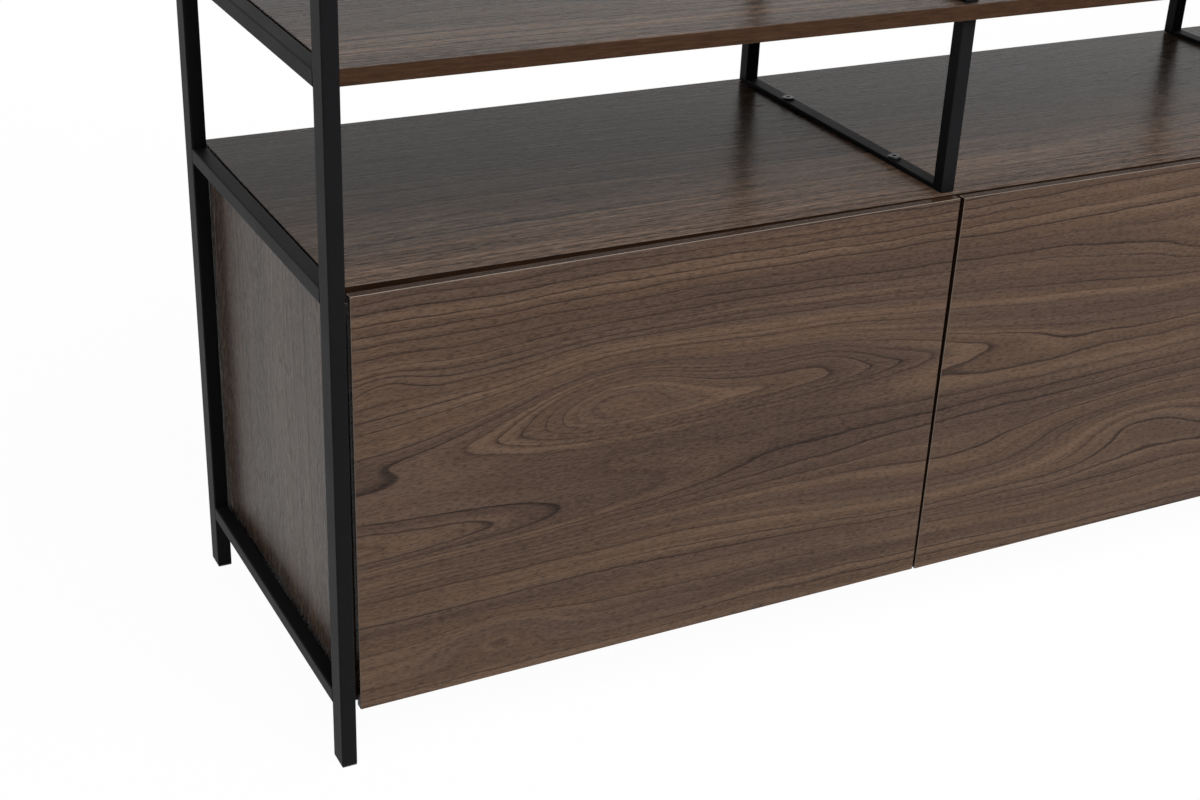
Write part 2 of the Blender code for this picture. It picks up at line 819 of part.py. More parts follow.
def build_cabinet(walnut, lining):
    """The closed cabinet between the ladder frames."""
    top = make_full_board("cabinet_top", walnut, cabinet_top_height, True, False)
    combine(top, groove_shape(cabinet_bottom_height, cabinet_inner_high + groove_depth),
            "top_groove", "DIFFERENCE")
    bottom = make_full_board("cabinet_bottom", walnut, cabinet_inner_low, False, False)
    combine(bottom, groove_shape(cabinet_inner_low - groove_depth, cabinet_top_height),
            "bottom_groove", "DIFFERENCE")
    make_upright("left_side_panel", walnut, -board_end_x, 1, (1,))
    make_upright("right_side_panel", walnut, side_inner_x, -1, (-1,))
    make_upright("left_partition", lining, partition_left_x, 0, (-1, 1))
    make_upright("right_partition", lining, partition_right_x, 0, (-1, 1))
    make_back(lining)
    for key, span in bay_spans.items():
        make_inner_shelf(key + "_inner_shelf", lining, span)


def build_doors(walnut, zinc, plastic):
    """The three doors with their hinges and push latches."""
    for key, span in door_spans.items():
        pivot = make_pivot(key, span)
        make_door(key + "_door", walnut, span, pivot)
        make_hinge_cups(key, zinc, span, pivot)
        make_hinge_arms(key, zinc, span)
        make_latch_body(key + "_latch_body", plastic, span)
        make_plunger(key + "_latch_plunger", plastic, span)


def build_tiers(walnut, steel):
    """The open tiers: boards on hoops, between the ladder frames."""
    make_full_board("tier_shelf", walnut, tier_heights[0], True, True)
    make_full_board("top_board", walnut, tier_heights[1], False, True)
    levels = (("lower", cabinet_top_height, True), ("upper", tier_heights[0], False))
    for label, low_height, loose_foot in levels:
        make_hoop(label + "_left_hoop", steel, -1, low_height, loose_foot)
        make_hoop(label + "_right_hoop", steel, 1, low_height, loose_foot)
    make_foot_bar("left_hoop_foot_bar", steel, -1, cabinet_top_height)
    make_foot_bar("right_hoop_foot_bar", steel, 1, cabinet_top_height)
    make_hoop_screws(steel)


def main():
    clear_scene()
    steel = make_material("black_steel", (0.022, 0.023, 0.026), 0.42, 0.0)
    walnut = make_material("walnut_veneer", (0.115, 0.072, 0.047), 0.45, 0.0)
    lining = make_material("cabinet_lining", (0.125, 0.085, 0.060), 0.5, 0.0)
    zinc = make_material("bright_zinc", (0.55, 0.56, 0.57), 0.3, 1.0)
    plastic = make_material("dark_plastic", (0.03, 0.03, 0.032), 0.5, 0.0)
    build_frames(steel, plastic)
    build_cabinet(walnut, lining)
    build_doors(walnut, zinc, plastic)
    build_tiers(walnut, steel)


main()
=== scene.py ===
"""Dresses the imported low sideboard: walnut veneer, powder-coated steel, fittings and stage."""

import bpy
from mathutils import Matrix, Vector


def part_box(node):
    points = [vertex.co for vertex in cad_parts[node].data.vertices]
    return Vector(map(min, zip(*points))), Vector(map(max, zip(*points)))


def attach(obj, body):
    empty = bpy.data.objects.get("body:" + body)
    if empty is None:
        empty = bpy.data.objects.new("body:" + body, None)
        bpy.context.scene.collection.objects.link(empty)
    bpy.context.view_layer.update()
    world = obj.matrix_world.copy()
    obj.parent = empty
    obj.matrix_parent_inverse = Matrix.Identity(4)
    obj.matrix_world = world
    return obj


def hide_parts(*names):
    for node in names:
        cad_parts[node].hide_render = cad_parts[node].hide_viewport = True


bl_info = {
    "name": "Low Sideboard",
    "version": (1, 0, 0),
    "blender": (4, 5, 0),
    "location": "3D View > Sidebar > Sideboard",
    "description": "Gives a walnut and steel sideboard its finishes, fittings and stage",
    "category": "Object",
}

import math

import bmesh
import bpy
from mathutils import Matrix, Vector

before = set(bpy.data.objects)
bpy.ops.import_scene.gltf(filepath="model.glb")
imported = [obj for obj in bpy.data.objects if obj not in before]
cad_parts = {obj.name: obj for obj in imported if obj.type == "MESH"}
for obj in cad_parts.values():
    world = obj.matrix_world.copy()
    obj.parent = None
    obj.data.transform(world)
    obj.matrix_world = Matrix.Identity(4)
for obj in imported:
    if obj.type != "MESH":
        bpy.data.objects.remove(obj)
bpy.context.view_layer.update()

# The axes, as grain and edges name them
X, Y, Z = range(3)

# Sockets that a mix of colours and a random number share names for, so they go by number
MIX_AMOUNT, MIX_FIRST, MIX_SECOND, MIX_RESULT = 0, 6, 7, 2
RANDOM_LOW, RANDOM_HIGH, RANDOM_RESULT = 2, 3, 1

# Where the finishes go
DOOR_KEYS = ("left", "middle", "right")
CARCASS = "carcass"
STEEL_ENDS = ("_post", "_rail", "_hoop", "_foot_bar")
PLAIN_BOARDS = ("cabinet_bottom", "tier_shelf", "top_board")
SIDE_PANELS = ("left_side_panel", "right_side_panel")
LINING_FLAT = tuple(key + "_inner_shelf" for key in DOOR_KEYS)
LINING_UPRIGHT = ("left_partition", "right_partition")

# The photograph's view, found from the object's own edges: metres, angles and pixels
VIEW_PLACE = Vector((-1.51922, -1.68321, 1.18615))
VIEW_TURN = math.radians(28.8672)
VIEW_DROP = math.radians(28.0519)
VIEW_ROLL = math.radians(2.9344)
VIEW_FOCAL_PIXELS = 1904.29
VIEW_CENTRE_PIXELS = (623.73, 452.21)
IMAGE_WIDTH = 1200
IMAGE_HEIGHT = 800
SENSOR_WIDTH = 36.0
VIEW_NEAR = 0.05
VIEW_FAR = 60.0

# The stage: the lamps' property, width and place, in metres, and what they aim at
LAMPS = {
    "key_lamp": ("key_power", 3.0, (0.0, -2.4, 3.85)),
    "fill_lamp": ("fill_power", 1.5, (-3.4, -0.6, 1.9)),
    "back_lamp": ("back_power", 1.4, (0.4, 3.4, 0.80)),
}
LAMP_AIM = (0.0, 0.0, 0.4)
FLOOR_REACH = 14.0
FLOOR_SPECK_CYCLES = 40.0
FLOOR_SPECK_TONE = 0.01
WHITE = (1.0, 1.0, 1.0, 1.0)

# The middle of every noise's range
NOISE_MIDDLE = 0.5

# Patterns in the veneer: cycles per metre along the grain and across it, a shift that keeps
# the patterns apart, the noise's detail and its roughness. A fibre's width is a property.
VENEER_PATTERNS = {
    "sway": (1.1, 2.6, 0.0, 1.0, 0.5),
    "ripple": (9.0, 22.0, 9.4, 2.0, 0.5),
    "drift": (0.35, 24.0, 1.7, 1.0, 0.5),
    "weight": (1.3, 74.0, 12.3, 1.0, 0.5),
    "band": (1.1, 34.0, 17.9, 2.0, 0.55),
    "pale": (1.9, 130.0, 5.2, 2.0, 0.55),
    "dash": (52.0, 1.0, 7.7, 2.0, 0.66),
    "hair": (135.0, 680.0, 21.0, 2.0, 0.6),
    "streak": (3.2, 230.0, 26.0, 3.0, 0.62),
    "cloud": (2.6, 7.0, 31.0, 2.0, 0.5),
}

# How growth lines run, in metres, and how many rings they drift by
SWAY_RISE = 0.040
DEPTH_SHARE = 0.9
LINE_SLOPE = 0.70
LINE_RIPPLE = 0.0075
FIBRE_SWAY = 0.16
FIBRE_RIPPLE = 0.004
DRIFT_RINGS = 2.6

# Where in its range a pattern starts to show, and where it shows in full
THIN_WINDOW = (0.78, 0.95)
SOFT_WINDOW = (0.20, 0.96)
LATE_WINDOW = (0.960, 0.999)
WEIGHT_WINDOW = (0.36, 0.58)
BAND_WINDOW = (0.45, 0.66)
PALE_WINDOW = (0.42, 0.62)
PORE_HAIR_WINDOW = (0.54, 0.68)
PORE_DASH_WINDOW = (0.42, 0.60)
EDGE_WINDOW = (0.80, 0.95)
# From here on an eased edge of the veneer takes its painted highlight
ARRIS_HIGHLIGHT_WINDOW = (0.30, 0.48)

# How strongly each pattern shows: in the growth lines, the colour, the relief and the sheen
THIN_STRENGTH = (0.20, 0.52)
SOFT_STRENGTH = (0.04, 0.18)
PALE_SHARE = 0.62
BAND_SHARE = 0.58
LINE_SHARE = 0.92
PORE_SHARE = 0.55
DASH_TONE = 1.05
HAIR_TONE = 1.85
CLOUD_TONE = 0.34
EDGE_DASH_TONE = 1.2
EDGE_HAIR_TONE = 0.5
DASH_RELIEF = 0.8
HAIR_RELIEF = 0.7
PORE_RELIEF = 0.8
LINE_RELIEF = 0.35
STREAK_RELIEF = 0.6
DASH_SHEEN = 0.34
PORE_SHEEN = 0.20
RELIEF_STRENGTH = 0.55
RELIEF_HEIGHT = 0.00022
RELIEF_GROWTH = 2.5

# The powder coat, the zinc and the plastic: cycles per metre, how strongly each pattern shows
# in the colour and the sheen, and each relief's strength and height in metres
COAT_GRIT_CYCLES = 1500.0
COAT_CLOUD_CYCLES = 22.0
COAT_GRIT_TONE = 0.9
COAT_CLOUD_TONE = 0.3
COAT_GRIT_SHEEN = 0.20
COAT_CLOUD_SHEEN = 0.10
# The coat's eased edges: where an edge counts as turned, which patches go pale, and how far; the
# paleness is a painted highlight laid on like rubbing wear
COAT_EDGE_WINDOW = (0.34, 0.5)
COAT_PATCH_WINDOW = (0.42, 0.62)
COAT_RUB_AND_HIGHLIGHT_SHARE = 0.16
COAT_RELIEF = (0.40, 0.00008)
ZINC_BLOOM_CYCLES = 420.0
ZINC_CLOUD_CYCLES = 45.0
ZINC_BLOOM_TONE = 0.14
ZINC_CLOUD_TONE = 0.16
ZINC_BLOOM_SHEEN = 0.08
ZINC_CLOUD_SHEEN = 0.06
ZINC_RELIEF = (0.10, 0.00003)
PLASTIC_SPARK_CYCLES = 1400.0
PLASTIC_SMEAR_CYCLES = 60.0
PLASTIC_SPARK_TONE = 0.3
PLASTIC_SMEAR_TONE = 0.25
PLASTIC_SMEAR_SHEEN = 0.2
PLASTIC_RELIEF = (0.25, 0.00005)

# How far the left door's corners stand from where they should, in metres along x, y and z
LEFT_DOOR_CORNERS = {
    ("left", "bottom"): (0.0023, -0.0006, -0.0006),
    ("left", "top"): (0.0003, -0.0032, -0.0022),
    ("right", "bottom"): (0.0, 0.0, 0.0006),
    ("right", "top"): (-0.0026, 0.0, 0.0008),
}

# How far from a side edge the left door's board still moves along x, in arrises
EDGE_REACH = 1.5

# A bore's faces, and how much deeper than its cup it is, in metres
BORE_SIDES = 48
BORE_SPARE = 0.0003

# The screws: faces round a head, the crown's width against the head's, the rim's share of the
# height, how far the crown stands on the rim, and the recess against the head's radius
HEAD_SIDES = 24
CROWN_WIDTH = 0.62
RIM_SHARE = 0.5
CROWN_FOOT = 0.49
RECESS_LENGTH = 1.15

# Where the veneer's growth lines swell: the place along and across the grain, the swelling's
# length, its reach below and above, and its rise, in metres
DOOR_FIGURE = (
    (-0.590, 0.340, 0.320, 0.023, 0.060, 0.070),
    (-0.722, 0.358, 0.085, 0.028, 0.044, 0.050),
    (-0.480, 0.356, 0.050, 0.016, 0.030, 0.008),
    (-1.030, 0.236, 0.480, 0.032, 0.038, -0.068),
    (-0.845, 0.110, 0.060, 0.022, 0.026, 0.024),
    (-0.965, 0.418, 0.040, 0.014, 0.014, 0.011),
    (-0.020, 0.200, 0.150, 0.044, 0.034, 0.036),
    (-0.300, 0.190, 0.200, 0.040, 0.034, -0.024),
    (0.100, 0.400, 0.200, 0.032, 0.040, -0.028),
    (0.430, 0.300, 0.180, 0.030, 0.050, 0.056),
    (0.800, 0.170, 0.260, 0.036, 0.030, -0.050),
    (0.790, 0.410, 0.140, 0.024, 0.036, 0.026),
)
TOP_FIGURE = (
    (-0.780, -0.050, 0.300, 0.040, 0.050, 0.030),
    (-0.200, 0.080, 0.360, 0.050, 0.040, -0.036),
    (0.350, -0.090, 0.300, 0.034, 0.050, 0.034),
    (0.800, 0.060, 0.260, 0.040, 0.036, -0.024),
)
SIDE_FIGURE = (
    (0.300, 0.020, 0.240, 0.040, 0.050, 0.026),
)


class Wire:
    """A value in a material, so that arithmetic on it adds Math nodes."""

    def __init__(self, sheet, socket):
        self.sheet = sheet
        self.socket = socket

    def maths(self, operation, *others):
        return self.sheet.node("ShaderNodeMath", {"operation": operation}, [self, *others])

    def __add__(self, other):
        return self.maths("ADD", other)

    def __radd__(self, other):
        return self.maths("ADD", other)

    def __sub__(self, other):
        return self.maths("SUBTRACT", other)

    def __rsub__(self, other):
        return self.sheet.node("ShaderNodeMath", {"operation": "SUBTRACT"}, [other, self])

    def __mul__(self, other):
        return self.maths("MULTIPLY", other)

    def __rmul__(self, other):
        return self.maths("MULTIPLY", other)

    def __truediv__(self, other):
        return self.maths("DIVIDE", other)

    def __abs__(self):
        return self.maths("ABSOLUTE")

    def part(self):
        """The part after the point."""
        return self.maths("FRACT")

    def swing(self):
        """A noise moved down so that it swings about nought."""
        return self - NOISE_MIDDLE

    def above(self, low, high):
        """Nought below low, one above high, and a smooth rise between them."""
        return self.sheet.node("ShaderNodeMapRange", {"interpolation_type": "SMOOTHSTEP"},
                               [self, low, high, 0.0, 1.0])


class Bench:
    """A node tree and the ways to add nodes to it."""

    def __init__(self, tree):
        self.tree = tree

    def node(self, kind, settings=None, values=(), output=0):
        """Add a node: its settings first, then the values or wires of its sockets."""
        made = self.tree.nodes.new(kind)
        for key, value in (settings or {}).items():
            setattr(made, key, value)
        pairs = values.items() if isinstance(values, dict) else enumerate(values)
        for key, value in pairs:
            self.feed(made.inputs[key], value)
        return Wire(self, made.outputs[output])

    def feed(self, socket, value):
        """Link a wire to a socket, or set the socket's own value."""
        if isinstance(value, Wire):
            self.tree.links.new(value.socket, socket)
        elif value is not None:
            socket.default_value = value


class Sheet(Bench):
    """One material and the nodes in it."""

    def __init__(self, name):
        self.material = bpy.data.materials.new(name)
        self.material.use_nodes = True
        super().__init__(self.material.node_tree)
        self.shader = self.tree.nodes["Principled BSDF"]
        self.output = self.tree.nodes["Material Output"]

    def coordinate(self, name):
        """The three parts of one of the object's own coordinates."""
        whole = self.tree.nodes.new("ShaderNodeTexCoord").outputs[name]
        split = self.node("ShaderNodeSeparateXYZ", values=[Wire(self, whole)]).socket.node
        return [Wire(self, socket) for socket in split.outputs]

    def place(self):
        """The object's own x, y and z."""
        return self.coordinate("Object")

    def facing(self):
        """The surface's direction, in the object's own axes."""
        return self.coordinate("Normal")

    def slant(self, facing):
        """How far the surface is turned between two axes, as on an eased edge."""
        x, y, z = facing
        return abs(x * y) + abs(y * z) + abs(x * z)

    def noise(self, x, y, z, detail=2.0, rough=0.5):
        """Soft noise whose three directions are already scaled."""
        where = self.node("ShaderNodeCombineXYZ", values=[x, y, z])
        return self.node("ShaderNodeTexNoise", {"noise_dimensions": "3D"},
                         {"Vector": where, "Scale": 1.0, "Detail": detail, "Roughness": rough})

    def even_noise(self, place, cycles, detail=2.0, rough=0.5):
        """Soft noise with the same cycles per metre in every direction."""
        return self.noise(*(part * cycles for part in place), detail, rough)

    def blend(self, amount, first, second):
        """A colour between two others."""
        return self.node("ShaderNodeMix", {"data_type": "RGBA"},
                         {MIX_AMOUNT: amount, MIX_FIRST: first, MIX_SECOND: second},
                         output=MIX_RESULT)

    def tint(self, colour, value):
        """A colour made lighter or darker by a value."""
        grey = self.node("ShaderNodeCombineXYZ", values=[value, value, value])
        base = colour if isinstance(colour, Wire) else tuple(colour[:3])
        return self.node("ShaderNodeVectorMath", {"operation": "MULTIPLY"}, [base, grey])

    def bump(self, height, strength, distance):
        """A relief for the shader's Normal socket."""
        return self.node("ShaderNodeBump", values={
            "Height": height, "Strength": strength, "Distance": distance})

    def finish(self, **sockets):
        """Feed the Principled shader."""
        for key, value in sockets.items():
            self.feed(self.shader.inputs[key.replace("_", " ")], value)
        return self.material


def colour4(value):
    """A colour with full alpha."""
    return (*value[:3], 1.0)


def colour_property(name, description, default):
    """One colour that a user would change."""
    return bpy.props.FloatVectorProperty(
        name=name, description=description, default=default, size=3, min=0.0, max=1.0,
        subtype="COLOR")


def length_property(name, description, default):
    """One length that a user would change."""
    return bpy.props.FloatProperty(
        name=name, description=description, default=default, min=0.0, unit="LENGTH",
        precision=5)


class SideboardFinishes(bpy.types.PropertyGroup):
    """Colours and sheen of the finishes."""

    walnut_light: colour_property("Walnut, light", "Pale streaks of the veneer",
                                  (0.142, 0.091, 0.061))
    walnut_middle: colour_property("Walnut, middle", "Ground colour of the veneer",
                                   (0.094, 0.058, 0.039))
    walnut_band: colour_property("Walnut, bands", "Wide greyish streaks of the veneer",
                                 (0.060, 0.039, 0.031))
    walnut_vein: colour_property("Walnut, veins", "Thin growth lines of the veneer",
                                 (0.020, 0.013, 0.011))
    # Painted highlight: the pale colour laid on the veneer's eased edges
    walnut_arris_highlight: colour_property("Walnut, arris", "Painted highlight on the edge where the veneer turns",
                                  (0.190, 0.160, 0.135))
    walnut_banding: colour_property("Walnut, edge banding", "Strip glued on a board's edge",
                                    (0.046, 0.023, 0.0125))
    coat: colour_property("Powder coat", "Satin black of the steel", (0.0078, 0.0079, 0.0086))
    # Pale colour of the coat's eased edges: rubbing wear and a painted highlight
    coat_wear_and_highlight: colour_property("Powder coat, pale edges", "Powder coat where an edge is rubbed and painted with a highlight",
                               (0.034, 0.034, 0.037))
    zinc: colour_property("Zinc", "Plating of the hinges", (0.66, 0.67, 0.69))
    plastic: colour_property("Plastic", "Latches and foot plugs", (0.016, 0.016, 0.018))
    ring_pitch: length_property("Ring pitch", "Usual distance between growth lines", 0.0090)
    fibre_width: length_property("Fibre width", "Width of the veneer's fine dashes", 0.0021)


class SideboardFittings(bpy.types.PropertyGroup):
    """Sizes of the small fittings."""

    head_radius: length_property("Screw head radius", "Hinge screws", 0.0032)
    head_height: length_property("Screw head height", "Hinge screws", 0.0011)
    recess_width: length_property("Recess width", "Cross recess in the hinge screws", 0.0009)
    recess_depth: length_property("Recess depth", "Cross recess in the hinge screws", 0.0007)
    bore_radius: length_property("Cup bore radius", "Bores in the door's back", 0.0175)


class SideboardStage(bpy.types.PropertyGroup):
    """Light and floor."""

    floor_colour: colour_property("Floor", "Pale floor", (0.78, 0.78, 0.78))
    floor_white: bpy.props.FloatProperty(
        name="Floor white", description="How far the floor is lifted to white for the camera",
        default=0.975, min=0.0, max=1.0, subtype="FACTOR")
    sky_level: bpy.props.FloatProperty(
        name="Sky level", description="Even light from all round", default=0.022, min=0.0)
    key_power: bpy.props.FloatProperty(
        name="Key power", description="Large soft lamp above and in front", default=262.0,
        min=0.0, unit="POWER")
    fill_power: bpy.props.FloatProperty(
        name="Fill power", description="Soft lamp on the left", default=4.0, min=0.0,
        unit="POWER")
    back_power: bpy.props.FloatProperty(
        name="Back power", description="Soft lamp behind", default=80.0, min=0.0, unit="POWER")


def finishes():
    return bpy.context.scene.sideboard_finishes


def fittings():
    return bpy.context.scene.sideboard_fittings


# arris sets how strongly the eased edges take a painted highlight; the edge multiplier darkens
# the edge banding as painted shade
def walnut_material(name, grain, across_axis, figure=(), tone=1.0, offset=0.0, coarse=1.0,
                    edge_axes=(), edge_painted_shade=1.0, arris=0.7, streaks=0.0, gloss=0.07,
                    rough=0.23):
    """Walnut veneer with its grain along one axis and its figure swelling here and there."""
    colours = finishes()
    sheet = Sheet(name)
    place = sheet.place()
    along = place[grain]
    across = place[across_axis]
    depth = place[X + Y + Z - grain - across_axis] * DEPTH_SHARE

    def pattern(kind, crosswise, layer, length=1.0, width=1.0):
        """One of the veneer's patterns, stretched along the grain or across it."""
        cycles, crosswise_cycles, shift, detail, roughness = VENEER_PATTERNS[kind]
        return sheet.noise(along * (cycles / length), crosswise * (crosswise_cycles / width),
                           layer + shift, detail, roughness)

    lift = pattern("sway", across, depth + offset) * SWAY_RISE - SWAY_RISE / 2
    for middle, height, length, below, above, rise in figure:
        far = (along - middle) / length
        gap = across - height
        wide = gap.maths("MINIMUM", 0.0) / below + gap.maths("MAXIMUM", 0.0) / above
        lift = lift + (far * far * -1.0 - wide * wide).maths("EXPONENT") * rise
    ripple = pattern("ripple", across, depth + offset).swing()
    flow = lift - (across + depth) * LINE_SLOPE + ripple * LINE_RIPPLE
    gentle = across + depth - lift * FIBRE_SWAY - ripple * FIBRE_RIPPLE

    drift = pattern("drift", flow, offset)
    ring = (flow / colours.ring_pitch + drift * DRIFT_RINGS + offset).part()
    late = 1.0 - ring.above(*LATE_WINDOW)
    thin = ring.above(*THIN_WINDOW) * late
    soft = ring.above(*SOFT_WINDOW) * late
    weight = pattern("weight", flow, offset).above(*WEIGHT_WINDOW)
    line = (thin * (weight * THIN_STRENGTH[1] + THIN_STRENGTH[0])
            + soft * (weight * SOFT_STRENGTH[1] + SOFT_STRENGTH[0]))
    band = pattern("band", flow, offset).above(*BAND_WINDOW)
    pale = pattern("pale", flow, offset).above(*PALE_WINDOW)
    dash = pattern("dash", gentle, offset, coarse ** 2, colours.fibre_width * coarse)
    hair = pattern("hair", gentle, offset, coarse ** 2, coarse ** 0.5)
    pores = hair.above(*PORE_HAIR_WINDOW) * dash.above(*PORE_DASH_WINDOW)
    streak = pattern("streak", gentle, offset).swing()
    cloud = pattern("cloud", across, depth + offset)

    vein = colour4(colours.walnut_vein)
    ground = sheet.blend(pale * PALE_SHARE, colour4(colours.walnut_middle),
                         colour4(colours.walnut_light))
    ground = sheet.blend(band * BAND_SHARE, ground, colour4(colours.walnut_band))
    ground = sheet.blend(line * LINE_SHARE, ground, vein)
    ground = sheet.blend(pores * PORE_SHARE, ground, vein)
    ground = sheet.tint(ground, dash.swing() * DASH_TONE + hair.swing() * (HAIR_TONE * coarse)
                        + cloud.swing() * CLOUD_TONE + streak * streaks + tone)
    turned = sheet.facing()
    # Edge banding on the chosen edges; its colour is multiplied down as painted shade where an
    # edge sits in a gap
    for axis in edge_axes:
        edge = abs(turned[axis]).above(*EDGE_WINDOW)
        grain_tone = dash.swing() * EDGE_DASH_TONE + hair.swing() * EDGE_HAIR_TONE + 1.0
        strip = sheet.tint(colour4(colours.walnut_banding), grain_tone * edge_painted_shade)
        ground = sheet.blend(edge, ground, strip)
    # Painted highlight: eased edges are blended towards the pale arris colour, as strongly as
    # arris says
    shown = sheet.blend(sheet.slant(turned).above(*ARRIS_HIGHLIGHT_WINDOW) * arris, ground,
                        colour4(colours.walnut_arris_highlight))
    relief = (dash * DASH_RELIEF + hair * HAIR_RELIEF - pores * PORE_RELIEF
              - line * LINE_RELIEF + streak * (streaks * STREAK_RELIEF))
    return sheet.finish(
        Base_Color=shown,
        Roughness=dash.swing() * -DASH_SHEEN + pores * PORE_SHEEN + rough,
        Specular_IOR_Level=gloss,
        Normal=sheet.bump(relief, RELIEF_STRENGTH, RELIEF_HEIGHT * coarse ** RELIEF_GROWTH))


def coat_material(name, gloss=0.045, rough=0.50):
    """Fine-textured satin black powder coat, its eased edges paler in patches: partly rubbing
    wear, partly a painted highlight.
    """
    colours = finishes()
    sheet = Sheet(name)
    place = sheet.place()
    grit = sheet.even_noise(place, COAT_GRIT_CYCLES, rough=0.6)
    cloud = sheet.even_noise(place, COAT_CLOUD_CYCLES)
    # Eased edges go paler in patches: a painted highlight laid on like rubbing wear
    worn_and_highlit = (sheet.slant(sheet.facing()).above(*COAT_EDGE_WINDOW)
            * cloud.above(*COAT_PATCH_WINDOW))
    shade = sheet.tint(colour4(colours.coat), grit.swing() * COAT_GRIT_TONE
                       + cloud.swing() * COAT_CLOUD_TONE + 1.0)
    return sheet.finish(
        Base_Color=sheet.blend(worn_and_highlit * COAT_RUB_AND_HIGHLIGHT_SHARE, shade, colour4(colours.coat_wear_and_highlight)),
        Roughness=grit.swing() * COAT_GRIT_SHEEN + cloud.swing() * COAT_CLOUD_SHEEN + rough,
        Specular_IOR_Level=gloss,
        Normal=sheet.bump(grit, *COAT_RELIEF))


def zinc_material(name):
    """Pressed steel with bright zinc plating."""
    sheet = Sheet(name)
    place = sheet.place()
    bloom = sheet.even_noise(place, ZINC_BLOOM_CYCLES, detail=3.0).swing()
    cloud = sheet.even_noise(place, ZINC_CLOUD_CYCLES, detail=1.0).swing()
    shade = sheet.tint(colour4(finishes().zinc),
                       bloom * ZINC_BLOOM_TONE + cloud * ZINC_CLOUD_TONE + 1.0)
    return sheet.finish(
        Base_Color=shade,
        Metallic=0.92,
        Roughness=bloom * ZINC_BLOOM_SHEEN + cloud * ZINC_CLOUD_SHEEN + 0.40,
        Normal=sheet.bump(bloom, *ZINC_RELIEF))


def plastic_material(name, lift=1.0):
    """Moulded dark plastic with a fine spark texture, its colour lifted a number of times."""
    sheet = Sheet(name)
    place = sheet.place()
    spark = sheet.even_noise(place, PLASTIC_SPARK_CYCLES, detail=1.0)
    smear = sheet.even_noise(place, PLASTIC_SMEAR_CYCLES)
    base = colour4([channel * lift for channel in finishes().plastic])
    shade = sheet.tint(base, spark.swing() * PLASTIC_SPARK_TONE
                       + smear.swing() * PLASTIC_SMEAR_TONE + 1.0)
    return sheet.finish(
        Base_Color=shade,
        Roughness=smear.swing() * PLASTIC_SMEAR_SHEEN + 0.52,
        Specular_IOR_Level=0.4,
        Normal=sheet.bump(spark, *PLASTIC_RELIEF))


def seen_rays(bench, amount):
    """An amount for what the camera sees, also in a reflection or through glass, else nought."""
    path = bench.tree.nodes.new("ShaderNodeLightPath")
    total = Wire(bench, path.outputs["Is Camera Ray"])
    for name in ("Is Glossy Ray", "Is Transmission Ray"):
        total = total.maths("MAXIMUM", Wire(bench, path.outputs[name]))
    return total * amount


def dress(names, material):
    """Give carried-over nodes a material."""
    for name in names:
        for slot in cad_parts[name].material_slots:
            slot.material = material


def nodes_ending(*ends):
    """The names of the nodes that end in one of some words."""
    return [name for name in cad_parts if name.endswith(tuple(ends))]


def add_mesh(name, bm):
    """Turn a bmesh into an object at the origin."""
    bmesh.ops.recalc_face_normals(bm, faces=bm.faces)
    mesh = bpy.data.meshes.new(name)
    bm.to_mesh(mesh)
    bm.free()
    item = bpy.data.objects.new(name, mesh)
    bpy.context.scene.collection.objects.link(item)
    return item


def applied(item):
    """Replace an object's mesh by what its modifiers make of it."""
    bpy.context.view_layer.update()
    shaped = item.evaluated_get(bpy.context.evaluated_depsgraph_get())
    mesh = bpy.data.meshes.new_from_object(shaped)
    item.modifiers.clear()
    item.data = mesh
    return item


class SIDEBOARD_OT_steel(bpy.types.Operator):
    """Powder coat on the ladder frames, hoops and their screws"""

    bl_idname = "sideboard.steel"
    bl_label = "Steel Frames"

    def execute(self, context):
        dress(nodes_ending(*STEEL_ENDS), coat_material("satin_black_coat"))
        dress(nodes_ending("_screw"), coat_material(
            "black_screw_finish", gloss=0.35, rough=0.34))
        return {"FINISHED"}


class SIDEBOARD_OT_boards(bpy.types.Operator):
    """Walnut veneer on the boards and side panels, and lining board inside"""

    bl_idname = "sideboard.boards"
    bl_label = "Boards"

    def execute(self, context):
        # arris here is the strength of the painted highlight on the eased edges
        board = {"figure": TOP_FIGURE, "coarse": 1.3, "edge_axes": (Y,), "arris": 0.15,
                 "streaks": 1.8, "rough": 0.20}
        lining = {"tone": 1.05, "arris": 0.2}
        dress(PLAIN_BOARDS, walnut_material(
            "walnut_board", X, Y, tone=0.64, offset=0.37, gloss=0.042, **board))
        # The top's front edge banding is darkened to 0.45 as painted shade, for the gap above the
        # doors
        dress(["cabinet_top"], walnut_material(
            "walnut_top", X, Y, tone=0.76, offset=4.61, edge_painted_shade=0.45, gloss=0.045, **board))
        dress(SIDE_PANELS, walnut_material(
            "walnut_side", Z, Y, SIDE_FIGURE, tone=0.95, offset=1.93, coarse=1.35, streaks=1.6,
            gloss=0.06))
        dress(LINING_FLAT, walnut_material(
            "lining_shelf", X, Y, offset=5.2, coarse=1.2, edge_axes=(Y,), **lining))
        dress(LINING_UPRIGHT, walnut_material(
            "lining_upright", Z, Y, offset=7.7, coarse=1.15, **lining))
        dress(["cabinet_back"], walnut_material(
            "lining_back", X, Z, tone=0.95, offset=9.1, coarse=1.1))
        return {"FINISHED"}


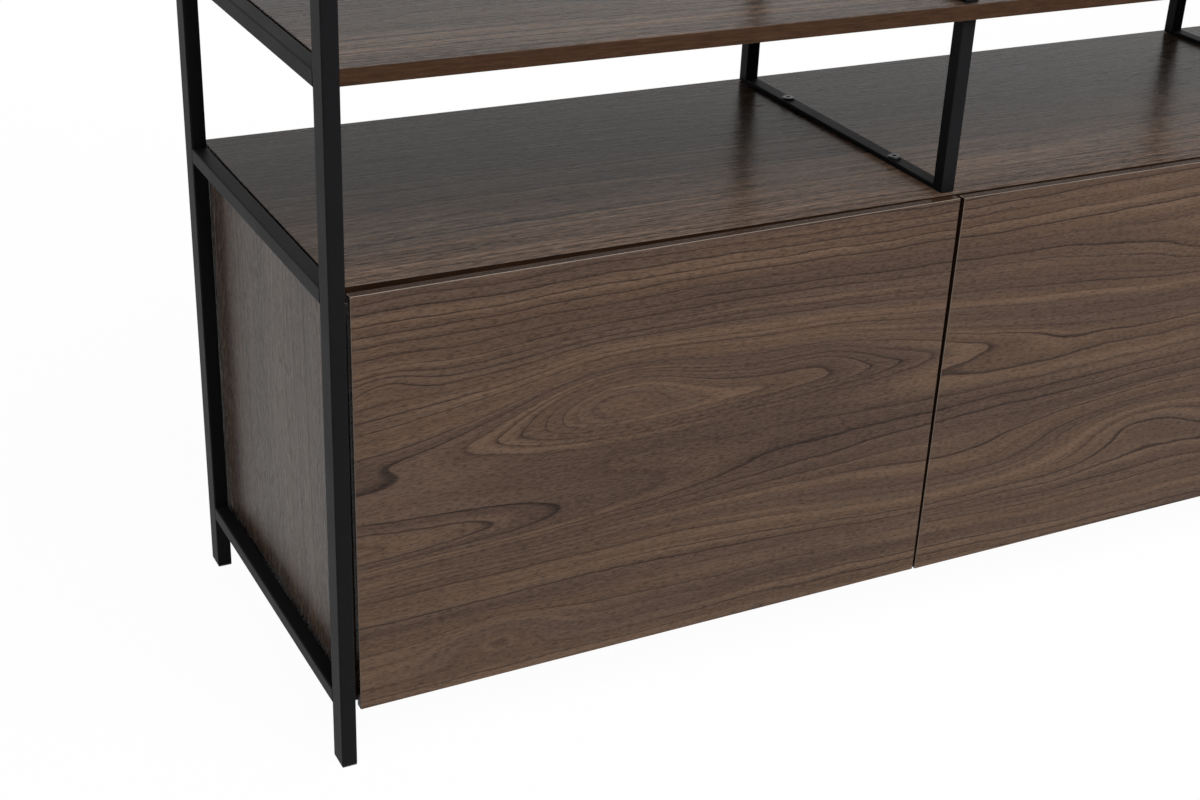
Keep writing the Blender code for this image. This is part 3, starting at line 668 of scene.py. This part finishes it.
class SIDEBOARD_OT_doors(bpy.types.Operator):
    """Walnut doors, the left one sprung out a little at its free top corner"""

    bl_idname = "sideboard.doors"
    bl_label = "Doors"

    arris: length_property("Arris", "Eased edge of the door", 0.0006)
    cells: bpy.props.IntProperty(
        name="Cells", description="Cells along the left door's width and height", default=16,
        min=2)

    def execute(self, context):
        # The doors' edge banding is darkened to 0.6 as painted shade, for the gaps round the
        # doors
        walnut = walnut_material("walnut_door", X, Z, DOOR_FIGURE, edge_axes=(X, Z),
                                 edge_painted_shade=0.6)
        dress([key + "_door" for key in DOOR_KEYS], walnut)
        low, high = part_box("left_door")
        panel = self.panel(low, high)
        panel.data.materials.append(walnut)
        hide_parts("left_door")
        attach(panel, "left_door_leaf")
        return {"FINISHED"}

    def panel(self, low, high):
        """The left door's board, bored for its cups and slightly twisted."""
        bm = bmesh.new()
        size = high - low
        place = Matrix.Translation((low + high) / 2) @ Matrix.Diagonal((*size, 1.0))
        bmesh.ops.create_cube(bm, size=1.0, matrix=place)
        bmesh.ops.bevel(bm, geom=list(bm.edges), offset=self.arris, segments=1, affect="EDGES")
        for normal in (Vector((1, 0, 0)), Vector((0, 0, 1))):
            for step in range(1, self.cells):
                middle = low + size * (step / self.cells)
                everything = list(bm.verts) + list(bm.edges) + list(bm.faces)
                bmesh.ops.bisect_plane(bm, geom=everything, plane_co=middle, plane_no=normal)
        door = add_mesh("left_door_panel", bm)
        for label in ("lower", "upper"):
            self.bore(door, label, high)
        applied(door)
        self.warp(door, low, size)
        return door

    def warp(self, door, low, size):
        """Move the board as its four corners stand; the side edges alone move along x."""
        for vertex in door.data.vertices:
            right = (vertex.co.x - low.x) / size.x
            top = (vertex.co.z - low.z) / size.z
            sides = {"left": 1 - right, "right": right}
            levels = {"bottom": 1 - top, "top": top}
            move = Vector((0.0, 0.0, 0.0))
            for (side, level), shift in LEFT_DOOR_CORNERS.items():
                move += Vector(shift) * (sides[side] * levels[level])
            if min(right, 1 - right) * size.x > self.arris * EDGE_REACH:
                move.x = 0.0
            vertex.co += move

    def bore(self, door, label, high):
        """Cut one hinge bore where the cup sits."""
        cup_low, cup_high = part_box(f"left_{label}_hinge_cup")
        centre = (cup_low + cup_high) / 2
        radius = fittings().bore_radius
        depth = high.y - cup_low.y + BORE_SPARE
        turn = Matrix.Rotation(math.pi / 2, 4, "X")
        spot = Matrix.Translation((centre.x, high.y, centre.z))
        bm = bmesh.new()
        bmesh.ops.create_cone(bm, cap_ends=True, segments=BORE_SIDES, radius1=radius,
                              radius2=radius, depth=depth * 2, matrix=spot @ turn)
        cutter = add_mesh("bore_" + label, bm)
        modifier = door.modifiers.new("bore_" + label, "BOOLEAN")
        modifier.operation = "DIFFERENCE"
        modifier.solver = "EXACT"
        modifier.object = cutter
        applied(door)
        bpy.data.objects.remove(cutter)


class SIDEBOARD_OT_hardware(bpy.types.Operator):
    """Zinc on the hinges, plastic on the latches and feet"""

    bl_idname = "sideboard.hardware"
    bl_label = "Hardware"

    def execute(self, context):
        dress(nodes_ending("_hinge_cup", "_hinge_arm"), zinc_material("bright_zinc_plate"))
        dress(nodes_ending("_latch_body"), plastic_material("latch_plastic", lift=3.0))
        dress(nodes_ending("_latch_plunger"), plastic_material("plunger_plastic", lift=9.0))
        dress(nodes_ending("_foot"), plastic_material("foot_plastic"))
        return {"FINISHED"}


def screw_tree():
    """A tree that sets a cross-recessed pan-head screw on every point of a mesh."""
    tree = bpy.data.node_groups.new("cross_head_screws", "GeometryNodeTree")
    for name, kind in (
            ("Geometry", "Geometry"), ("Head Radius", "Float"), ("Head Height", "Float"),
            ("Recess Width", "Float"), ("Recess Depth", "Float"), ("Aim", "Vector"),
            ("Seed", "Int"), ("Material", "Material")):
        tree.interface.new_socket(name=name, in_out="INPUT", socket_type="NodeSocket" + kind)
    tree.interface.new_socket(name="Geometry", in_out="OUTPUT", socket_type="NodeSocketGeometry")
    bench = Bench(tree)
    inputs = tree.nodes.new("NodeGroupInput").outputs
    result = tree.nodes.new("NodeGroupOutput")
    given = {socket.name: Wire(bench, socket) for socket in inputs if socket.name}
    radius = given["Head Radius"]
    height = given["Head Height"]

    def vector(x, y, z):
        return bench.node("ShaderNodeCombineXYZ", values=[x, y, z])

    def raised(shape, rise):
        """A shape moved up."""
        return bench.node("GeometryNodeTransform",
                          values={"Geometry": shape, "Translation": vector(0.0, 0.0, rise)})

    def joined(operation, shapes, body=None):
        """Shapes made one, or cut out of a body."""
        made = bench.node("GeometryNodeMeshBoolean",
                          {"operation": operation, "solver": "EXACT"}, [body])
        for shape in shapes:
            bench.feed(made.socket.node.inputs[1], shape)
        return made

    rim = bench.node("GeometryNodeMeshCylinder", values={
        "Vertices": HEAD_SIDES, "Radius": radius, "Depth": height * RIM_SHARE})
    crown = bench.node("GeometryNodeMeshCone", values={
        "Vertices": HEAD_SIDES, "Radius Top": radius * CROWN_WIDTH, "Radius Bottom": radius,
        "Depth": height * RIM_SHARE})
    head = joined("UNION", [raised(rim, height * (RIM_SHARE / 2)),
                            raised(crown, height * CROWN_FOOT)])
    length = radius * RECESS_LENGTH
    width = given["Recess Width"]
    deep = given["Recess Depth"] * 2.0
    bars = [raised(bench.node("GeometryNodeMeshCube", values={"Size": size}), height)
            for size in (vector(length, width, deep), vector(width, length, deep))]
    screw = joined("DIFFERENCE", bars, head)

    aim = bench.node("FunctionNodeAlignRotationToVector", {"axis": "Z"},
                     {"Vector": given["Aim"]})
    turn = bench.node("FunctionNodeRandomValue", {"data_type": "FLOAT"},
                      {RANDOM_LOW: 0.0, RANDOM_HIGH: math.pi / 2, "Seed": given["Seed"]},
                      output=RANDOM_RESULT)
    spin = bench.node("FunctionNodeAxisAngleToRotation",
                      values={"Axis": (0.0, 0.0, 1.0), "Angle": turn})
    both = bench.node("FunctionNodeRotateRotation", {"rotation_space": "LOCAL"}, [aim, spin])
    points = bench.node("GeometryNodeMeshToPoints", values=[given["Geometry"]])
    spread = bench.node("GeometryNodeInstanceOnPoints", values={
        "Points": points, "Instance": screw, "Rotation": both})
    real = bench.node("GeometryNodeRealizeInstances", values=[spread])
    coat = bench.node("GeometryNodeSetMaterial",
                      values={"Geometry": real, "Material": given["Material"]})
    bench.feed(result.inputs[0], coat)
    return tree


def points_object(name, places):
    """An object whose mesh is loose points."""
    mesh = bpy.data.meshes.new(name)
    mesh.from_pydata([tuple(place) for place in places], [], [])
    item = bpy.data.objects.new(name, mesh)
    bpy.context.scene.collection.objects.link(item)
    return item


def grown(name, places, tree, values):
    """Run a Geometry Nodes tree on points and keep the plain mesh."""
    item = points_object(name, places)
    modifier = item.modifiers.new("pattern", "NODES")
    modifier.node_group = tree
    for socket in tree.interface.items_tree:
        if socket.in_out == "INPUT" and socket.name in values:
            modifier[socket.identifier] = values[socket.name]
    return applied(item)


class SIDEBOARD_OT_hinge_screws(bpy.types.Operator):
    """Cross-head screws in the hinge flanges and plates"""

    bl_idname = "sideboard.hinge_screws"
    bl_label = "Hinge Screws"

    flange_reach: length_property("Flange reach", "From cup centre to flange screw", 0.0215)
    plate_reach: length_property("Plate reach", "From arm centre to plate screw", 0.0175)
    plate_back: length_property("Plate back", "From the plate's rear end to the screws", 0.022)
    plate_in: length_property("Plate thickness", "From the partition to the plate's face", 0.0077)
    seed: bpy.props.IntProperty(name="Seed", description="Turn of the recesses", default=4)

    def execute(self, context):
        sizes = fittings()
        steel = zinc_material("screw_zinc")
        tree = screw_tree()
        common = {"Head Radius": sizes.head_radius, "Head Height": sizes.head_height,
                  "Recess Width": sizes.recess_width, "Recess Depth": sizes.recess_depth,
                  "Seed": self.seed, "Material": steel}
        plate_places = []
        for key in DOOR_KEYS:
            cup_places = []
            for label in ("lower", "upper"):
                low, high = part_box(f"{key}_{label}_hinge_cup")
                centre = (low + high) / 2
                arm_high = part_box(f"{key}_{label}_hinge_arm")[1]
                plate_x = arm_high.x - self.plate_in
                for side in (-1, 1):
                    cup_places.append((centre.x, high.y, centre.z + side * self.flange_reach))
                    plate_places.append((plate_x, arm_high.y - self.plate_back,
                                         centre.z + side * self.plate_reach))
            screws = grown(key + "_cup_screws", cup_places, tree,
                           {**common, "Aim": (0.0, 1.0, 0.0)})
            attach(screws, key + "_door_leaf")
        screws = grown("hinge_plate_screws", plate_places, tree,
                       {**common, "Aim": (-1.0, 0.0, 0.0)})
        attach(screws, CARCASS)
        return {"FINISHED"}


class SIDEBOARD_OT_stage(bpy.types.Operator):
    """Pale floor, soft light and the camera"""

    bl_idname = "sideboard.stage"
    bl_label = "Stage"

    def execute(self, context):
        settings = context.scene.sideboard_stage
        context.scene.view_settings.view_transform = "Standard"
        self.floor(settings)
        self.sky(settings)
        self.lamps(settings)
        self.camera(context)
        return {"FINISHED"}

    def floor(self, settings):
        """A floor that shows nearly white to the camera and still takes the shadow."""
        bm = bmesh.new()
        bmesh.ops.create_grid(bm, x_segments=1, y_segments=1, size=FLOOR_REACH)
        floor = add_mesh("studio_floor", bm)
        sheet = Sheet("pale_floor")
        place = sheet.place()
        speck = sheet.noise(place[X] * FLOOR_SPECK_CYCLES, place[Y] * FLOOR_SPECK_CYCLES,
                            place[Z])
        tone = sheet.tint(settings.floor_colour, speck.swing() * FLOOR_SPECK_TONE + 1.0)
        sheet.finish(Base_Color=tone, Roughness=0.9, Specular_IOR_Level=0.1)
        white = sheet.node("ShaderNodeEmission", values={"Color": WHITE, "Strength": 1.0})
        plain = Wire(sheet, sheet.shader.outputs[0])
        mixed = sheet.node("ShaderNodeMixShader", values=[
            seen_rays(sheet, settings.floor_white), plain, white])
        sheet.feed(sheet.output.inputs["Surface"], mixed)
        floor.data.materials.append(sheet.material)

    def sky(self, settings):
        """Even light for the object, white to the camera and in reflections."""
        world = bpy.data.worlds.new("studio_sky")
        world.use_nodes = True
        bpy.context.scene.world = world
        bench = Bench(world.node_tree)
        even = bench.tree.nodes["Background"]
        bench.feed(even.inputs["Color"], WHITE)
        bench.feed(even.inputs["Strength"], settings.sky_level)
        seen = bench.node("ShaderNodeBackground", values={"Color": WHITE, "Strength": 1.0})
        mixed = bench.node("ShaderNodeMixShader", values=[
            seen_rays(bench, 1.0), Wire(bench, even.outputs[0]), seen])
        bench.feed(bench.tree.nodes["World Output"].inputs["Surface"], mixed)

    def lamps(self, settings):
        """Soft lamps: a large one above and in front, one on the left, a low one behind."""
        for name, (power, width, spot) in LAMPS.items():
            light = bpy.data.lights.new(name, "AREA")
            light.shape = "SQUARE"
            light.size = width
            light.energy = getattr(settings, power)
            lamp = bpy.data.objects.new(name, light)
            bpy.context.scene.collection.objects.link(lamp)
            lamp.location = spot
            aim = Vector(LAMP_AIM) - lamp.location
            lamp.rotation_euler = aim.to_track_quat("-Z", "Y").to_euler()
            lamp.visible_camera = False
            lamp.visible_glossy = name != "back_lamp"

    def camera(self, context):
        """A camera that sees the sideboard as the photograph does."""
        ahead = Vector((math.sin(VIEW_TURN) * math.cos(VIEW_DROP),
                        math.cos(VIEW_TURN) * math.cos(VIEW_DROP), -math.sin(VIEW_DROP)))
        level = ahead.cross(Vector((0, 0, 1))).normalized()
        rise = level.cross(ahead)
        right = level * math.cos(VIEW_ROLL) + rise * math.sin(VIEW_ROLL)
        up = rise * math.cos(VIEW_ROLL) - level * math.sin(VIEW_ROLL)
        data = bpy.data.cameras.new("view_camera")
        data.sensor_width = SENSOR_WIDTH
        data.sensor_fit = "HORIZONTAL"
        data.lens = VIEW_FOCAL_PIXELS / IMAGE_WIDTH * SENSOR_WIDTH
        data.shift_x = (IMAGE_WIDTH / 2 - VIEW_CENTRE_PIXELS[0]) / IMAGE_WIDTH
        data.shift_y = (VIEW_CENTRE_PIXELS[1] - IMAGE_HEIGHT / 2) / IMAGE_WIDTH
        data.clip_start = VIEW_NEAR
        data.clip_end = VIEW_FAR
        item = bpy.data.objects.new("view_camera", data)
        bpy.context.scene.collection.objects.link(item)
        turn = Matrix((right, up, -ahead)).transposed()
        item.matrix_world = Matrix.Translation(VIEW_PLACE) @ turn.to_4x4()
        context.scene.camera = item


OPERATORS = (
    SIDEBOARD_OT_steel,
    SIDEBOARD_OT_boards,
    SIDEBOARD_OT_doors,
    SIDEBOARD_OT_hardware,
    SIDEBOARD_OT_hinge_screws,
    SIDEBOARD_OT_stage,
)


class SIDEBOARD_PT_panel(bpy.types.Panel):
    """The sideboard's operators and settings"""

    bl_idname = "SIDEBOARD_PT_panel"
    bl_label = "Sideboard"
    bl_space_type = "VIEW_3D"
    bl_region_type = "UI"
    bl_category = "Sideboard"

    def draw(self, context):
        column = self.layout.column()
        for operator in OPERATORS:
            column.operator(operator.bl_idname)
        for group in (context.scene.sideboard_finishes, context.scene.sideboard_fittings,
                      context.scene.sideboard_stage):
            for key in group.bl_rna.properties.keys():
                if key not in ("rna_type", "name"):
                    column.prop(group, key)


GROUPS = (
    ("sideboard_finishes", SideboardFinishes),
    ("sideboard_fittings", SideboardFittings),
    ("sideboard_stage", SideboardStage),
)


def register():
    for name, group in GROUPS:
        bpy.utils.register_class(group)
        setattr(bpy.types.Scene, name, bpy.props.PointerProperty(type=group))
    for operator in OPERATORS:
        bpy.utils.register_class(operator)
    bpy.utils.register_class(SIDEBOARD_PT_panel)


def unregister():
    bpy.utils.unregister_class(SIDEBOARD_PT_panel)
    for operator in reversed(OPERATORS):
        bpy.utils.unregister_class(operator)
    for name, group in reversed(GROUPS):
        delattr(bpy.types.Scene, name)
        bpy.utils.unregister_class(group)


def main():
    register()
    for operator in OPERATORS:
        kind, action = operator.bl_idname.split(".")
        getattr(getattr(bpy.ops, kind), action)()


if __name__ == "__main__":
    main()
